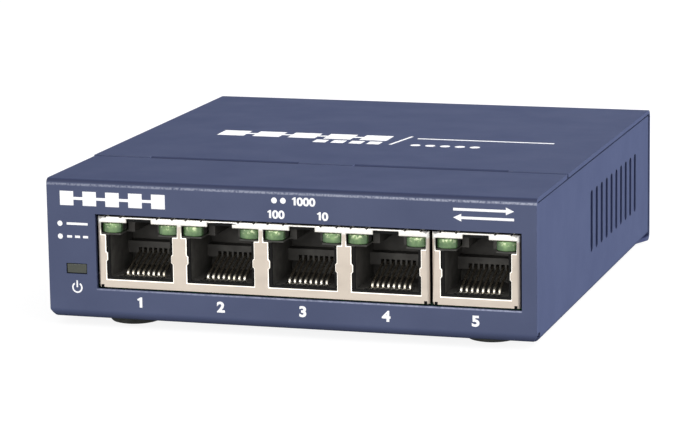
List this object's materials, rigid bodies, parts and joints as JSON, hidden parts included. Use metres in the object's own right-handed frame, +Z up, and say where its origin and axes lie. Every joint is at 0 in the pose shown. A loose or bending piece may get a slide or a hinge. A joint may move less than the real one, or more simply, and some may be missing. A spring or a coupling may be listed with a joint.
{
  "type": "desktop network switch",
  "caption": "Low painted steel box with a row of shielded network jacks in front, vent slots in its sides and a barrel power inlet behind.",
  "frame": {"origin": "on the surface it stands on, under the middle of the case", "axes": "+X to the right seen from the front, +Y to the rear, +Z up"},
  "size_m": [0.094, 0.101, 0.0281],
  "materials": {
    "paint": "satin powder-coat blue-grey paint on steel sheet",
    "nickel": "nickel-plated thin sheet, softly reflective",
    "jack_plastic": "matte black moulded plastic",
    "contact_gold": "gold-plated spring wire",
    "link_lens": "clear green moulded lens",
    "power_lens": "clear smoky green light pipe",
    "power_light": "small clear light on the board",
    "rubber": "soft dark grey rubber",
    "black_screw": "black-coated steel screw",
    "board": "green lacquered circuit board",
    "zinc": "zinc-plated steel",
    "chip_plastic": "dark moulded chip package",
    "magnetics_plastic": "black moulded case",
    "heat_sink": "extruded aluminium",
    "crystal_can": "drawn metal can",
    "inductor_core": "grey ferrite",
    "capacitor_can": "drawn aluminium can",
    "inlet_plastic": "matte black moulded plastic",
    "inlet_pin": "nickel-plated pin"
  },
  "bodies": {
    "switch_body": {"base_tray": "paint", "top_cover": "paint", "jack_block_shield": "nickel", "jack_single_shield": "nickel", "jack_block_housing": "jack_plastic", "jack_single_housing": "jack_plastic", "light_lens_port_1_left": "link_lens", "light_lens_port_1_right": "link_lens", "light_lens_port_2_left": "link_lens", "light_lens_port_2_right": "link_lens", "light_lens_port_3_left": "link_lens", "light_lens_port_3_right": "link_lens", "light_lens_port_4_left": "link_lens", "light_lens_port_4_right": "link_lens", "light_lens_port_5_left": "link_lens", "light_lens_port_5_right": "link_lens", "power_light_pipe": "power_lens", "power_light": "power_light", "foot_front_left": "rubber", "foot_front_right": "rubber", "foot_rear_left": "rubber", "foot_rear_right": "rubber", "cover_screw_left": "black_screw", "cover_screw_right": "black_screw", "circuit_board": "board", "standoff_1": "zinc", "standoff_2": "zinc", "standoff_3": "zinc", "standoff_4": "zinc", "board_screw_1": "zinc", "board_screw_2": "zinc", "board_screw_3": "zinc", "board_screw_4": "zinc", "switch_chip": "chip_plastic", "memory_chip": "chip_plastic", "regulator_chip": "chip_plastic", "magnetics_module_1": "magnetics_plastic", "magnetics_module_2": "magnetics_plastic", "magnetics_module_3": "magnetics_plastic", "magnetics_module_4": "magnetics_plastic", "magnetics_module_5": "magnetics_plastic", "heat_sink": "heat_sink", "clock_crystal": "crystal_can", "power_inductor": "inductor_core", "capacitor_1": "capacitor_can", "capacitor_2": "capacitor_can", "power_inlet_body": "inlet_plastic", "power_inlet_pin": "inlet_pin"},
    "contacts_1": {"contact_set_port_1": "contact_gold"},
    "contacts_2": {"contact_set_port_2": "contact_gold"},
    "contacts_3": {"contact_set_port_3": "contact_gold"},
    "contacts_4": {"contact_set_port_4": "contact_gold"},
    "contacts_5": {"contact_set_port_5": "contact_gold"}
  },
  "joints": [
    {"name": "contact_spring_1", "type": "hinge", "parent": "switch_body", "child": "contacts_1", "pos_m": [-0.02881, -0.047, 0.00925], "axis": [-1, 0, 0], "range_deg": [0, 12], "stiffness_Nm_per_rad": 0.2},
    {"name": "contact_spring_2", "type": "hinge", "parent": "switch_body", "child": "contacts_2", "pos_m": [-0.01294, -0.047, 0.00925], "axis": [-1, 0, 0], "range_deg": [0, 12], "stiffness_Nm_per_rad": 0.2},
    {"name": "contact_spring_3", "type": "hinge", "parent": "switch_body", "child": "contacts_3", "pos_m": [0.00294, -0.047, 0.00925], "axis": [-1, 0, 0], "range_deg": [0, 12], "stiffness_Nm_per_rad": 0.2},
    {"name": "contact_spring_4", "type": "hinge", "parent": "switch_body", "child": "contacts_4", "pos_m": [0.01881, -0.047, 0.00925], "axis": [-1, 0, 0], "range_deg": [0, 12], "stiffness_Nm_per_rad": 0.2},
    {"name": "contact_spring_5", "type": "hinge", "parent": "switch_body", "child": "contacts_5", "pos_m": [0.03555, -0.047, 0.00925], "axis": [-1, 0, 0], "range_deg": [0, 12], "stiffness_Nm_per_rad": 0.2}
  ]
}
